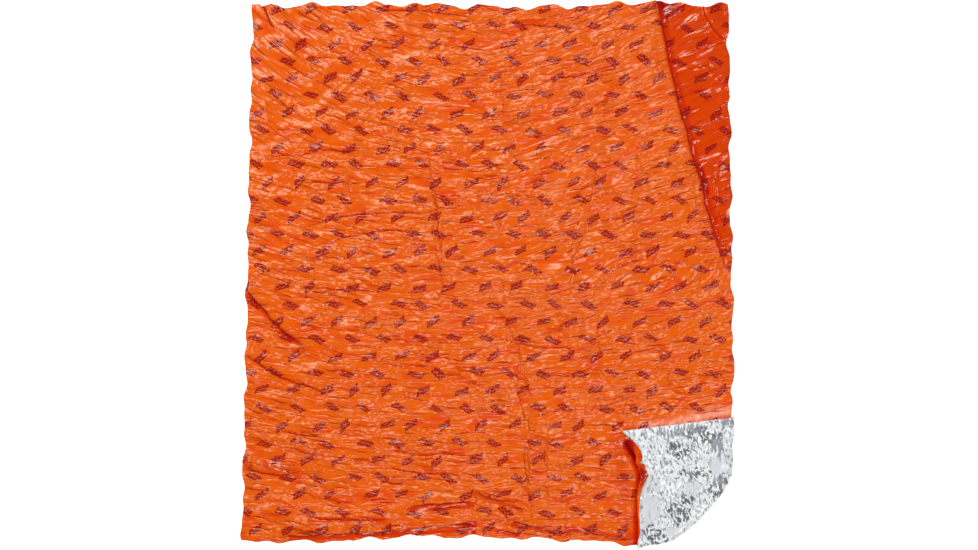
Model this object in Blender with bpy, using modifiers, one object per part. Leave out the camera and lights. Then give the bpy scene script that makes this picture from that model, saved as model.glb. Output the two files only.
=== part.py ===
"""Emergency foil blanket: one sheet of printed film, metallised on its underside.

It lies opened out on a level surface, still full of the creases of its packing,
with its near right corner turned over so that the underside shows.
Lengths are in millimetres until the mesh is built, in metres.
+Z is up, +X the blanket's right and +Y its far end.
"""

import math

import bpy
import numpy as np

MM = 0.001

# The film, with the small creases that give it body.
SHEET_THICKNESS = 1.5
GRID_COLUMNS = 200
GRID_ROWS = 225
SURFACE_TRIANGLES = 5200

# The sheet's edges as it lies, each a table of (along the edge, place of the edge).
# The near and right edges run on to CORNER, where the corner would lie unturned.
CORNER = (817, -768)
LEFT_EDGE = [(-800, -738), (-480, -731), (0, -722), (806, -706)]
RIGHT_EDGE = [(CORNER[1], CORNER[0]), (-428, 729), (-330, 736), (0, 732), (806, 720)]
NEAR_EDGE = [
    (-738, -800),
    (-510, -802),
    (-390, -796),
    (-255, -785),
    (-60, -786),
    (120, -792),
    (320, -800),
    (448, -812),
    CORNER,
]
FAR_EDGE = [(-706, 812), (-240, 815), (60, 804), (240, 806), (480, 818), (720, 806)]

# Scallops that the packing folds leave along the edges: length, height and phase.
SCALLOPS = [(176, 4.5, 0.4), (103, 3.5, 2.1), (61, 2.0, 4.4)]
SCALLOP_DEPTH = 45
# How strong the wander is on the sheet's two sides, its near edge and its far edge.
SIDE_WANDER = 0.7
NEAR_WANDER = 0.8
FAR_WANDER = 1.1

# The turned-over corner. Its tip lies on the sheet, and the film fans out from it
# to a soft roll, FAN_RADIUS from the tip. The turn starts on the line from
# TURN_NEAR to TURN_RIGHT.
TIP = (405, -468)
TURN_NEAR = (448, -812)
TURN_RIGHT = (729, -428)
FAN_RADIUS = [(0.0, 357), (0.1, 354), (0.25, 362), (0.45, 348), (0.65, 352), (0.8, 331), (1.0, 336)]
ROLL_RADIUS_END = 12
ROLL_RADIUS_MIDDLE = 25
ROLL_SWELLING = 1.5
TIP_HEIGHT = 13
# The film under the corner is pressed flat, from a little outside the corner's edges.
PRESSED_MARGIN = 35
PRESSED_BLEND = 50
# The corner's near edge is turned up and back over itself, by its distance from
# the tip: (distance, width turned back).
LIP = [(0, 0), (30, 18), (75, 30), (136, 34), (170, 27), (200, 22), (345, 12)]
LIP_RADIUS = 6
# Buckles that run out from the tip over the corner: their place in the fan, from 0
# at the near edge to 1 at the right edge, their half-width there, and their height.
BUCKLES = [(0.36, 0.08, 6), (0.55, 0.07, 5), (0.76, 0.10, 9)]

# Main folds, where the film laps over itself along a line: the line's two ends, its
# bow to the right of the way it runs, the height of the upper layer, how far it
# laps, how far back the upper layer comes down to the floor, and the share of the
# line over which the fold dies out at each end.
# The upper layer is on the left of the way the line runs.
FOLD_COLUMNS = (
    "x0", "y0", "x1", "y1", "bow", "height", "lap", "back", "fade_0", "fade_1"
)
FOLDS = [
    # the long pleat beside the right edge, and the turned corner beyond it
    (742, -70, 500, 820, -16, 24, 8, 130, 0.35, 0.00),
    (640, 820, 735, 690, 16, 12, 2, 50, 0.05, 0.30),
    # the tucks that run in from the left edge, and its turned far corner
    (-725, -35, -520, -245, 6, 18, 11, 110, 0.05, 0.45),
    (-725, -235, -450, -350, 24, 14, 6, 90, 0.05, 0.45),
    (-735, -565, -560, -590, 18, 9, 3, 60, 0.10, 0.30),
    (-640, 720, -700, 830, 10, 14, 6, 50, 0.35, 0.00),
    # the pleats along the near edge
    (-640, -790, -30, -746, 7, 15, 8, 60, 0.15, 0.12),
    (-240, -698, -40, -684, -8, 10, 4, 50, 0.25, 0.25),
    (70, -738, 245, -775, 6, 11, 5, 50, 0.20, 0.20),
    (270, -752, 440, -790, 10, 12, 5, 50, 0.20, 0.05),
]

# How wide a fold's bend is, and how far around it the film is drawn smooth.
BEND_PER_LAP = 0.7
BEND_PER_HEIGHT = 0.45
SMOOTHED_BENDS = 1.6

# Creases where the film steps down without lapping: the ends of each, its bow and
# its height. The high side is on the left of the way it runs.
CREASE_COLUMNS = ("x0", "y0", "x1", "y1", "bow", "height")
CREASE_SHAPE = {"lap": 1.5, "back": 50, "fade_0": 0.25, "fade_1": 0.25}
CREASES = [
    # across the strip beyond the pleat
    (672, 335, 718, 120, 6, 10),
    (690, 500, 745, 515, -14, 10),
    (640, 640, 742, 470, -20, 8),
    # up the sheet, where it was folded for packing
    (45, -70, 90, -240, 8, 10),
    (90, -240, 120, -480, 8, 10),
    (118, -480, 140, -700, 12, 10),
    (312, 270, 246, 30, 14, 9),
    (-140, -15, -186, 305, 14, 10),
    (174, -500, 174, -600, 2, 7),
    # across the sheet
    (-710, 345, -360, 378, -6, 10),
    (-564, 278, -369, 275, 4, 9),
    (-570, 140, -140, 185, -20, 12),
    (-490, 95, -170, 118, -20, 11),
    (-580, -38, -320, -44, 3, 10),
    (-250, -222, -50, -258, 8, 9),
    (60, -200, 330, -232, 6, 9),
    (-320, -526, -20, -532, 10, 11),
    (-630, -465, -495, -485, 8, 9),
    (-330, -575, -60, -600, 8, 10),
    (120, -292, 290, -304, 5, 8),
    (120, 560, 420, 620, -12, 10),
    (40, 770, 250, 745, 10, 11),
    (-340, 790, -30, 762, -16, 11),
    (-540, -722, -300, -728, 10, 9),
    (30, -765, 100, -778, 4, 9),
    (-45, -640, 85, -680, 14, 9),
]

# Small ridges between the folds, one in each cell of a grid. They run across the
# sheet and turn a little from place to place: their angle in degrees at each GRAIN_X
# and GRAIN_Y.
RIDGE_SEED = 11
RIDGE_COLUMNS = 14
RIDGE_ROWS = 32
RIDGE_HEIGHT = (4.0, 10.0)
RIDGE_HALF_LENGTH = (55, 150)
RIDGE_HALF_WIDTH = (12, 22)
RIDGE_SCATTER = 14
RIDGE_CROSSING_SHARE = 0.18
RIDGE_CROSSING_ANGLES = (-62, 55)
GRAIN_X = (-740, -250, 250, 740)
GRAIN_Y = (-820, -300, 300, 820)
GRAIN_ANGLES = [
    (-8, -4, -3, 0),
    (-14, -3, 5, 8),
    (-18, -7, 14, 16),
    (-42, -16, 20, 24),
]

# How the sheet lies as a whole: it swells off the floor here and there (length,
# direction and height of each swell), and settles on it between its ridges.
SWELLS = [(620, 0.3, 2.4), (410, 1.9, 1.8), (270, 2.9, 1.2)]
SETTLED = 4.0


def smooth(t):
    """A step from 0 to 1 that starts and ends level."""
    t = np.clip(t, 0.0, 1.0)
    return t * t * (3 - 2 * t)


def along(table, at):
    """The value of a two-column table at these places."""
    places, values = zip(*table)
    return np.interp(at, places, values)


def scallop(at, phase):
    """The in-and-out wander of an edge."""
    return sum(
        height * np.sin(2 * math.pi * at / length + start + phase)
        for length, height, start in SCALLOPS
    )


def edge_point(table, share, upright):
    """The point at this share of an edge's length, on its table."""
    first, last = table[0][0], table[-1][0]
    place = first + (last - first) * share
    across = along(table, place)
    return (across, place) if upright else (place, across)


def laid_plan(u, v):
    """Where the point (u, v) of the sheet lies before its corner is turned over."""
    near = edge_point(NEAR_EDGE, u, False)
    far = edge_point(FAR_EDGE, u, False)
    left = edge_point(LEFT_EDGE, v, True)
    right = edge_point(RIGHT_EDGE, v, True)
    corners = [NEAR_EDGE[0], NEAR_EDGE[-1], FAR_EDGE[0], FAR_EDGE[-1]]
    weights = [(1 - u) * (1 - v), u * (1 - v), (1 - u) * v, u * v]
    x, y = (
        near[axis] * (1 - v)
        + far[axis] * v
        + left[axis] * (1 - u)
        + right[axis] * u
        - sum(corner[axis] * weight for corner, weight in zip(corners, weights))
        for axis in (0, 1)
    )
    width = CORNER[0] - NEAR_EDGE[0][0]
    length = FAR_EDGE[0][1] - NEAR_EDGE[0][1]
    clear_of_corner = smooth((y - TURN_RIGHT[1]) / SCALLOP_DEPTH)
    x = x + SIDE_WANDER * scallop(y, 0.0) * np.exp(-width * u / SCALLOP_DEPTH)
    right_wander = SIDE_WANDER * scallop(y, 1.3) * clear_of_corner
    x = x - right_wander * np.exp(-width * (1 - u) / SCALLOP_DEPTH)
    clear_of_corner = smooth((TURN_NEAR[0] - x) / SCALLOP_DEPTH)
    near_wander = NEAR_WANDER * scallop(x, 2.2) * clear_of_corner
    y = y + near_wander * np.exp(-length * v / SCALLOP_DEPTH)
    y = y - FAR_WANDER * scallop(x, 4.0) * np.exp(-length * (1 - v) / SCALLOP_DEPTH)
    return x, y


def all_folds():
    """The laps and the creases, each as a dictionary of its sizes."""
    laps = [dict(zip(FOLD_COLUMNS, row)) for row in FOLDS]
    steps = [{**dict(zip(CREASE_COLUMNS, row)), **CREASE_SHAPE} for row in CREASES]
    return laps + steps


def fold(x, y, f):
    """One fold's sideways shift of the film, its rise, and how much it smooths."""
    run_x, run_y = f["x1"] - f["x0"], f["y1"] - f["y0"]
    length = math.hypot(run_x, run_y)
    side_x, side_y = run_y / length, -run_x / length
    t = ((x - f["x0"]) * run_x + (y - f["y0"]) * run_y) / length**2
    off = (x - f["x0"]) * side_x + (y - f["y0"]) * side_y
    off = off - f["bow"] * 4 * t * (1 - t)
    strength = 1.0
    if f["fade_0"]:
        strength = strength * smooth(t / f["fade_0"])
    if f["fade_1"]:
        strength = strength * smooth((1 - t) / f["fade_1"])
    half_width = BEND_PER_LAP * f["lap"] + BEND_PER_HEIGHT * f["height"]
    turn = math.pi * np.clip((off / half_width + 1) / 2, 0, 1)
    shift = f["lap"] * strength * np.sin(2 * turn)
    come_down = 1 - smooth((-off - half_width) / f["back"])
    rise = f["height"] * strength * (1 + np.cos(turn)) / 2 * come_down
    # the layer between the other two lies on the lower one's own thickness
    rise = rise + 2 * SHEET_THICKNESS * strength * np.sin(turn)
    smoothing = strength * np.exp(-((off / half_width / SMOOTHED_BENDS) ** 2))
    return shift * side_x, shift * side_y, rise, smoothing


def grain_angle(x, y):
    """The way the small ridges run at a place, in radians."""
    column = np.interp(x, GRAIN_X, range(len(GRAIN_X)))
    row = np.interp(y, GRAIN_Y, range(len(GRAIN_Y)))
    angles = np.array(GRAIN_ANGLES, float)
    i, j = min(int(row), len(GRAIN_Y) - 2), min(int(column), len(GRAIN_X) - 2)
    up, right = row - i, column - j
    low = angles[i, j] * (1 - right) + angles[i, j + 1] * right
    high = angles[i + 1, j] * (1 - right) + angles[i + 1, j + 1] * right
    return math.radians(low * (1 - up) + high * up)


def ridges(x, y):
    """The height of the small ridges, each a sharp line that dies out at its ends."""
    rng = np.random.default_rng(RIDGE_SEED)
    total = np.zeros_like(x)
    spacing_x = (GRAIN_X[-1] - GRAIN_X[0]) / RIDGE_COLUMNS
    spacing_y = (GRAIN_Y[-1] - GRAIN_Y[0]) / RIDGE_ROWS
    for row, column in np.ndindex(RIDGE_ROWS, RIDGE_COLUMNS):
        centre_x = GRAIN_X[0] + (column + rng.random()) * spacing_x
        centre_y = GRAIN_Y[0] + (row + rng.random()) * spacing_y
        angle = grain_angle(centre_x, centre_y)
        angle += math.radians(rng.normal(0, RIDGE_SCATTER))
        if rng.random() < RIDGE_CROSSING_SHARE:
            angle += math.radians(rng.choice(RIDGE_CROSSING_ANGLES))
        half_length = rng.uniform(*RIDGE_HALF_LENGTH)
        half_width = rng.uniform(*RIDGE_HALF_WIDTH)
        height = rng.uniform(*RIDGE_HEIGHT)
        dx, dy = x - centre_x, y - centre_y
        t = (dx * math.cos(angle) + dy * math.sin(angle)) / half_length
        off = np.abs(dy * math.cos(angle) - dx * math.sin(angle)) / half_width
        total += height * np.exp(-off) * np.clip(1 - t * t, 0, 1) ** 2
    return total


def swell(x, y):
    """The broad unevenness of a sheet that doesn't lie quite flat."""
    total = np.zeros_like(x)
    for length, direction, height in SWELLS:
        way = x * math.cos(direction) + y * math.sin(direction)
        total += height * np.sin(2 * math.pi * way / length + direction)
    return np.maximum(total, 0)


def fan_coordinates(x, y):
    """Where a point of the corner is in its fan.

    spread runs from 0 on the ray to TURN_NEAR to 1 on the ray to TURN_RIGHT, and
    onward from 0 on the line between them to 1 at CORNER.
    """
    near, right, corner = (np.array(p, float) for p in (TURN_NEAR, TURN_RIGHT, CORNER))
    to_weights = np.linalg.inv(np.column_stack([near - corner, right - corner]))
    weight_near = to_weights[0, 0] * (x - corner[0]) + to_weights[0, 1] * (y - corner[1])
    weight_right = to_weights[1, 0] * (x - corner[0]) + to_weights[1, 1] * (y - corner[1])
    onward = 1 - weight_near - weight_right
    spread = weight_right / np.maximum(weight_near + weight_right, 1e-6)
    return spread, onward


def unit(start, end):
    """The direction from one point to another."""
    way = np.array(end, float) - np.array(start, float)
    return way / np.linalg.norm(way)


def under_corner(x, y):
    """1 where the turned-over corner lies on the sheet, and 0 well clear of it."""
    to_near, to_right = unit(TIP, TURN_NEAR), unit(TIP, TURN_RIGHT)
    across = (x - TIP[0]) * to_right[0] + (y - TIP[1]) * to_right[1]
    down = (x - TIP[0]) * to_near[0] + (y - TIP[1]) * to_near[1]
    covered = smooth((across + PRESSED_MARGIN) / PRESSED_BLEND)
    return covered * smooth((down + PRESSED_MARGIN) / PRESSED_BLEND)


def turn_back_lip(x, y, z, on_top):
    """Turns up the corner's near edge and lays it back over the corner."""
    edge_way = unit(TIP, TURN_NEAR)
    inward = np.array((-edge_way[1], edge_way[0]))
    distance = (x - TIP[0]) * edge_way[0] + (y - TIP[1]) * edge_way[1]
    from_edge = (x - TIP[0]) * inward[0] + (y - TIP[1]) * inward[1]
    width = along(LIP, distance)
    past_bend = np.clip(width - from_edge, 0, None) * on_top
    turn = np.clip(past_bend / LIP_RADIUS, 0, math.pi)
    flat_run = past_bend - turn * LIP_RADIUS
    moved = width - LIP_RADIUS * np.sin(turn) + flat_run
    shift = np.where(past_bend > 0, moved - from_edge, 0)
    return x + shift * inward[0], y + shift * inward[1], z + LIP_RADIUS * (1 - np.cos(turn))


def turn_corner(x, y, z):
    """Carries the points past the turn line round the roll and back over the sheet.

    z is their height off the film's own surface, on its printed side, which ends up
    facing down.
    """
    spread, onward = fan_coordinates(x, y)
    turned = onward > 0
    spread = np.clip(spread, 0, 1)
    start_x = TURN_NEAR[0] + (TURN_RIGHT[0] - TURN_NEAR[0]) * spread - TIP[0]
    start_y = TURN_NEAR[1] + (TURN_RIGHT[1] - TURN_NEAR[1]) * spread - TIP[1]
    start = np.hypot(start_x, start_y)
    ray_x, ray_y = start_x / start, start_y / start
    middle = np.sin(math.pi * spread) ** ROLL_SWELLING
    radius = ROLL_RADIUS_END + (ROLL_RADIUS_MIDDLE - ROLL_RADIUS_END) * middle
    # the film runs on along the floor, round the roll, and back to the tip
    back_run = along(FAN_RADIUS, spread) - radius
    floor_run = back_run - start
    roll_run = math.pi * radius
    run = onward * (floor_run + roll_run + back_run)
    angle = np.clip((run - floor_run) / radius, 0, math.pi)
    back = np.clip((run - floor_run - roll_run) / back_run, 0, 1)
    reach = start + np.minimum(run, floor_run) + radius * np.sin(angle) - back * back_run
    height = radius * (1 - np.cos(angle)) + (TIP_HEIGHT - 2 * radius) * smooth(back)
    for place, half_width, buckle_height in BUCKLES:
        across = np.exp(-(((spread - place) / half_width) ** 2))
        height += buckle_height * across * np.sin(math.pi * back)
    # the printed side faces into the roll
    turned_x = TIP[0] + (reach - z * np.sin(angle)) * ray_x
    turned_y = TIP[1] + (reach - z * np.sin(angle)) * ray_y
    height = height + z * np.cos(angle)
    turned_x, turned_y, height = turn_back_lip(
        turned_x, turned_y, height, turned & (back > 0)
    )
    return (
        np.where(turned, turned_x, x),
        np.where(turned, turned_y, y),
        np.where(turned, height, z),
    )


def lay_out(u, v):
    """The place of every point (u, v) of the sheet."""
    x, y = laid_plan(u, v)
    z = np.maximum(swell(x, y) + ridges(x, y) - SETTLED, 0)
    move_x, move_y, lift = np.zeros_like(x), np.zeros_like(x), np.zeros_like(x)
    for sizes in all_folds():
        shift_x, shift_y, rise, smoothing = fold(x, y, sizes)
        move_x += shift_x
        move_y += shift_y
        lift += rise
        z = z * (1 - smoothing)
    z = (z + lift) * (1 - under_corner(x, y))
    x, y, z = turn_corner(x, y, z)
    return x + move_x, y + move_y, z


def film_material(name, colour, roughness, metallic):
    """One face of the film."""
    material = bpy.data.materials.new(name)
    material.use_nodes = True
    shader = material.node_tree.nodes["Principled BSDF"]
    shader.inputs["Base Color"].default_value = (*colour, 1)
    shader.inputs["Roughness"].default_value = roughness
    shader.inputs["Metallic"].default_value = metallic
    return material


def film_surface():
    """The sheet's underside as an open mesh, thinned where the film is smooth."""
    bpy.ops.mesh.primitive_grid_add(
        x_subdivisions=GRID_COLUMNS, y_subdivisions=GRID_ROWS, size=1
    )
    grid = bpy.context.object
    flat = np.empty(len(grid.data.vertices) * 3)
    grid.data.vertices.foreach_get("co", flat)
    u, v = flat[0::3] + 0.5, flat[1::3] + 0.5
    laid = np.column_stack(lay_out(u, v)) * MM
    grid.data.vertices.foreach_set("co", laid.ravel())
    grid.data.update()
    thin_out = grid.modifiers.new("thin_out", "DECIMATE")
    thin_out.ratio = SURFACE_TRIANGLES / (2 * GRID_COLUMNS * GRID_ROWS)
    graph = bpy.context.evaluated_depsgraph_get()
    surface = bpy.data.meshes.new_from_object(grid.evaluated_get(graph))
    bpy.data.objects.remove(grid)
    for vertex in surface.vertices:
        vertex.co.z = max(vertex.co.z, 0.0)
    return surface


def centre_on_floor(blanket):
    """Moves the blanket so that the middle of its box stands over the origin."""
    graph = bpy.context.evaluated_depsgraph_get()
    mesh = blanket.evaluated_get(graph).to_mesh()
    points = np.empty(len(mesh.vertices) * 3)
    mesh.vertices.foreach_get("co", points)
    low = points.reshape(-1, 3).min(axis=0)
    high = points.reshape(-1, 3).max(axis=0)
    blanket.location = (-(low[0] + high[0]) / 2, -(low[1] + high[1]) / 2, -low[2])


def main():
    for old in list(bpy.data.objects):
        bpy.data.objects.remove(old)
    collection = bpy.data.collections.new("emergency foil blanket")
    bpy.context.scene.collection.children.link(collection)

    surface = film_surface()
    surface.materials.clear()
    surface.materials.append(film_material("orange face", (0.95, 0.13, 0.01), 0.32, 0.0))
    surface.materials.append(film_material("silver face", (0.80, 0.81, 0.83), 0.22, 1.0))
    blanket = bpy.data.objects.new("foil_blanket", surface)
    collection.objects.link(blanket)
    film = blanket.modifiers.new("film", "SOLIDIFY")
    film.thickness = SHEET_THICKNESS * MM
    film.offset = 1
    film.material_offset = 1
    centre_on_floor(blanket)


main()
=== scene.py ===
"""Looks of the emergency foil blanket.

One sheet of film, printed orange above and metallised underneath, lies opened out and
full of creases with its near right corner turned over. It is drawn twice on one grid,
once for each face. Lengths are in millimetres until the meshes are built, in metres.
+Z is up, +X the blanket's right and +Y its far end.
"""

import math

import bpy
import numpy as np
from mathutils import Matrix

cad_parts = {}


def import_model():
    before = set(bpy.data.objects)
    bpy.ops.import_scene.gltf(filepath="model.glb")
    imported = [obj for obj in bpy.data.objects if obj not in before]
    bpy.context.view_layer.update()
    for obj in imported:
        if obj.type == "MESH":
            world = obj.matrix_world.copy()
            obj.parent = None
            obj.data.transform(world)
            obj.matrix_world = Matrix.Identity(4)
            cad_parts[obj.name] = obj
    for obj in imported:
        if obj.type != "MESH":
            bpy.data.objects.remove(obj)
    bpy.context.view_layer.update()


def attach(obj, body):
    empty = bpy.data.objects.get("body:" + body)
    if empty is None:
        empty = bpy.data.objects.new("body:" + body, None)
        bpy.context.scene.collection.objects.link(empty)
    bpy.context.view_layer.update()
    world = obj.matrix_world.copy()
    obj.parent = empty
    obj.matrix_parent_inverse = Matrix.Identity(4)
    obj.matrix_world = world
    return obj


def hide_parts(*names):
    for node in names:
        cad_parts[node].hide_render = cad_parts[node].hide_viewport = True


MM = 0.001

# ---- the sheet as laid
# The outline, the corner, the folds, the creases, the ridges and the swells are the
# solid's too, but here the first fold along the near edge lies 9 mm further in, creases
# lap a little more and the strip turned back is more ragged. The rest is only here.

CENTRED = (2.053, 0.478)
CORNER = (817, -768)
LEFT_EDGE = [(-800, -738), (-480, -731), (0, -722), (806, -706)]
RIGHT_EDGE = [(CORNER[1], CORNER[0]), (-428, 729), (-330, 736), (0, 732), (806, 720)]
NEAR_EDGE = [
    (-738, -800), (-510, -802), (-390, -796), (-255, -785), (-60, -786), (120, -792),
    (320, -800), (448, -812), CORNER,
]
FAR_EDGE = [(-706, 812), (-240, 815), (60, 804), (240, 806), (480, 818), (720, 806)]
SCALLOPS = [(176, 4.5, 0.4), (103, 3.5, 2.1), (61, 2.0, 4.4)]
SCALLOP_DEPTH = 45
# How each edge wanders: where its waves start, and how strong they are.
LEFT_WANDER, RIGHT_WANDER = (0.0, 0.7), (1.3, 0.7)
NEAR_WANDER, FAR_WANDER = (2.2, 0.8), (4.0, 1.1)

TIP = (405, -468)
TURN_NEAR = (448, -812)
TURN_RIGHT = (729, -428)
FAN_RADIUS = [(0, 357), (0.1, 354), (0.25, 362), (0.45, 348), (0.65, 352), (0.8, 331), (1, 336)]
ROLL_RADIUS_END = 12
ROLL_RADIUS_MIDDLE = 25
ROLL_SWELLING = 1.5
TIP_HEIGHT = 13
PRESSED_MARGIN = 35
PRESSED_BLEND = 50
BUCKLES = [(0.36, 0.08, 6), (0.55, 0.07, 5), (0.76, 0.10, 9)]
# The ragged strip of the corner's near edge that is turned back over it, as distances
# from the tip and the width there.
LIP = [
    (0, 0), (22, 18), (52, 29), (79, 33), (103, 29), (109, 37), (121, 34),
    (136, 40), (169, 28), (196, 22), (253, 17), (310, 15), (352, 2),
]
LIP_RADIUS = 6

# Main folds, with the upper layer on the left of the way the line runs.
FOLD_COLUMNS = "x0 y0 x1 y1 bow height lap back fade_0 fade_1".split()
FOLDS = [
    # the long pleat beside the right edge, and the turned corner beyond it
    (742, -70, 500, 820, -16, 24, 8, 130, 0.35, 0.00),
    (640, 820, 735, 690, 16, 12, 2, 50, 0.05, 0.30),
    # the tucks that run in from the left edge, and its turned far corner
    (-725, -35, -520, -245, 6, 18, 11, 110, 0.05, 0.45),
    (-725, -235, -450, -350, 24, 14, 6, 90, 0.05, 0.45),
    (-735, -565, -560, -590, 18, 9, 3, 60, 0.10, 0.30),
    (-640, 720, -700, 830, 10, 14, 6, 50, 0.35, 0.00),
    # the pleats along the near edge
    (-640, -781, -30, -737, 7, 15, 8, 60, 0.15, 0.12),
    (-240, -698, -40, -684, -8, 10, 4, 50, 0.25, 0.25),
    (70, -738, 245, -775, 6, 11, 5, 50, 0.20, 0.20),
    (270, -752, 440, -790, 10, 12, 5, 50, 0.20, 0.05),
]
BEND_PER_LAP = 0.7
BEND_PER_HEIGHT = 0.45
SMOOTHED_BENDS = 1.6
LAYER_CLEARANCE = 3.0
# The shade painted in the hollow beside a fold: its reach over the lower layer, the laps
# from bare to darkest, and where it starts, is full and starts to end, in half-widths
# of the bend.
HOLLOW_REACH, HOLLOW_REACH_PER_LAP = 2.5, 2.0
HOLLOW_LAPS = (8, 15)
HOLLOW_START, HOLLOW_FULL, HOLLOW_END = -0.2, 0.3, 0.7
# A thin dark line of painted shade where a fold's layers meet, a little past the middle
# of its bend.
LINE_PLACE, LINE_PLACE_PER_LAP = 0.5, 1 / 60
LINE_WIDTH, LINE_WIDTH_PER_LAP = 1.2, 0.26
LINE_FADE = 11
# How many widths off a line a point counts where no line is near.
NO_LINE = 9.0
# The folds wander: the length and reach of each wave, and its two seeds.
FOLD_WANDER = [(70, 5.0, 80, 90), (26, 2.0, 81, 91)]
# How dark the painted shade line is along a crease that runs up the sheet, across the
# grain.
UPRIGHT_LINE = 0.6
# The shade painted at the first fold, the long pleat: its dark line, its valley, beyond
# it, over its shoulder, the strength of the fold where it is full, and how much crumple
# it calms.
PLEAT_LINE = 0.3
PLEAT_VALLEY, PLEAT_BEYOND = 0.50, 0.36
PLEAT_VALLEY_START, PLEAT_VALLEY_WIDTH = 10, 48
PLEAT_SHOULDER, PLEAT_SHOULDER_START = 14, 0.8
PLEAT_FULL_AT = 2 / 3
PLEAT_CALM = 0.6
# Other painted shade along lines, in hollows and shaded places: the ends of each, its
# half-width and its depth.
SHADE_LINES = [
    # beside the turned-over corner
    (402, -504, 418, -515, 9, 0.8),
    (414, -508, 432, -536, 13, 1.1),
    (432, -536, 446, -566, 10, 1.1),
    (446, -566, 456, -590, 11, 1.0),
    (456, -590, 452, -640, 8, 0.85),
    (450, -640, 444, -812, 6, 0.75),
    (388, -500, 412, -640, 26, 0.22),
    (412, -640, 424, -790, 24, 0.14),
    # the pleat's mouth at the far edge, and the strip outside the pleat
    (518, 822, 536, 772, 10, 0.95),
    (556, 822, 540, 776, 11, 0.95),
    (536, 822, 537, 784, 14, 0.80),
    (640, 318, 658, 245, 9, 0.85),
    (700, 790, 724, 800, 16, 0.40),
    # along the folds at the near edge
    (-594, -796, -294, -782, 9, 0.42),
    (-294, -782, -48, -763, 10, 0.48),
    (-43, -744, -43, -790, 7, 0.75),
    (-534, -734, -312, -735, 7, 0.40),
    (-237, -704, -43, -692, 8, 0.50),
    (30, -770, 90, -783, 6, 0.60),
    (75, -747, 240, -780, 8, 0.55),
    (237, -759, 426, -795, 8, 0.50),
    (-45, -656, 99, -707, 6, 0.42),
    # a crumpled patch by the left edge
    (-655, -572, -570, -600, 22, 0.28),
]
# The painted shade on the strip that is turned back over the corner, and where it starts.
LIP_SHADE, LIP_UNEVEN = 0.16, 0.55
LIP_BLOTCH, LIP_SEED = 17, 7
LIP_START, LIP_RANGE = 0.5, 0.1
# The way the light comes from, and the slope away from it where the film is painted a
# redder shade.
LIGHT_FROM = (-0.50, 0.86)
AWAY_START, AWAY_RANGE = 0.05, 0.30
# Painted sheen, and two small painted glints, on the film beside the turned corner's far
# edge: the ends of each stretch, its half-width and strength.
SHEEN_BANDS = [
    (456, -458, 560, -446, 12, 0.75),
    (560, -446, 738, -408, 15, 1.0),
    (522, -440, 542, -464, 4, 1.0),
    (561, -434, 561, -456, 4, 0.9),
]
# The sheet slopes up to the corner's far edge: the line, its height and its reach.
RAMP = (455, -474, 729, -428)
RAMP_HEIGHT = 9
RAMP_REACH = 36
RAMP_ENDS = [(-0.1, 0), (0.2, 1), (0.95, 1), (1.15, 0)]

CREASE_COLUMNS = FOLD_COLUMNS[:6]
CREASE_SHAPE = {"lap": 2.6, "back": 50, "fade_0": 0.25, "fade_1": 0.25}
# The share of a crease's height that is in its step. The rest is in the crumple.
CREASE_STEP = 0.48
CREASES = [
    # across the strip beyond the pleat
    (672, 335, 718, 120, 6, 10),
    (690, 500, 745, 515, -14, 10),
    (640, 640, 742, 470, -20, 8),
    # up the sheet, where it was folded for packing
    (45, -70, 90, -240, 8, 10),
    (90, -240, 120, -480, 8, 10),
    (118, -480, 140, -700, 12, 10),
    (312, 270, 246, 30, 14, 9),
    (-140, -15, -186, 305, 14, 10),
    (174, -500, 174, -600, 2, 7),
    # across the sheet
    (-710, 345, -360, 378, -6, 10),
    (-564, 278, -369, 275, 4, 9),
    (-570, 140, -140, 185, -20, 12),
    (-490, 95, -170, 118, -20, 11),
    (-580, -38, -320, -44, 3, 10),
    (-250, -222, -50, -258, 8, 9),
    (60, -200, 330, -232, 6, 9),
    (-320, -526, -20, -532, 10, 11),
    (-630, -465, -495, -485, 8, 9),
    (-330, -575, -60, -600, 8, 10),
    (120, -292, 290, -304, 5, 8),
    (120, 560, 420, 620, -12, 10),
    (40, 770, 250, 745, 10, 11),
    (-340, 790, -30, 762, -16, 11),
    (-540, -722, -300, -728, 10, 9),
    (30, -765, 100, -778, 4, 9),
    (-45, -640, 85, -680, 14, 9),
]

RIDGE_SEED = 11
RIDGE_COLUMNS = 14
RIDGE_ROWS = 32
RIDGE_HEIGHT = (4.0, 10.0)
RIDGE_HALF_LENGTH = (55, 150)
RIDGE_HALF_WIDTH = (12, 22)
RIDGE_ROUNDING = 0.35
RIDGE_SCATTER = 14
RIDGE_CROSSING_SHARE = 0.18
RIDGE_CROSSING_ANGLES = (-62, 55)
GRAIN_X = (-740, -250, 250, 740)
GRAIN_Y = (-820, -300, 300, 820)
GRAIN_ANGLES = [
    (-8, -4, -3, 0),
    (-14, -3, 5, 8),
    (-18, -7, 14, 16),
    (-42, -16, 20, 24),
]
SWELLS = [(620, 0.3, 2.4), (410, 1.9, 1.8), (270, 2.9, 1.2)]
SETTLED = 4.0

# ---- what only shows here
# The faces' grid, closer at the turned-over corner: shares of the sheet, and the cells
# up to each.
GRID_U = [(0.70, 190), (1.00, 102)]
GRID_V = [(0.30, 122), (1.00, 212)]
# Where the faces lie off the film's underside, inside the solid's thickness.
SILVER_OFFSET = 0.2
ORANGE_OFFSET = 0.8

# The packing folds, up the sheet, where the small creases to either side don't meet:
# the points of each as y and x, its width, and how far the creases are shifted.
PANELS = [
    ([(-130, -150), (-14, -141), (136, -171), (184, -150), (305, -178), (420, -186)], 7, 24),
    ([(-820, 141), (-646, 118), (-352, 120), (-265, 96), (-184, 87), (-70, 45), (80, 30)], 7, 26),
    ([(-90, 240), (34, 246), (136, 288), (268, 312), (400, 330)], 8, -23),
    ([(-720, 180), (-598, 174), (-502, 174), (-380, 172)], 6, 21),
    ([(-760, -334), (-540, -316), (-380, -340), (-220, -318), (-60, -336)], 8, -13),
    ([(-400, 326), (-262, 338), (-170, 322), (-80, 330)], 8, 13),
]
PANEL_ENDS = 110
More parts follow.
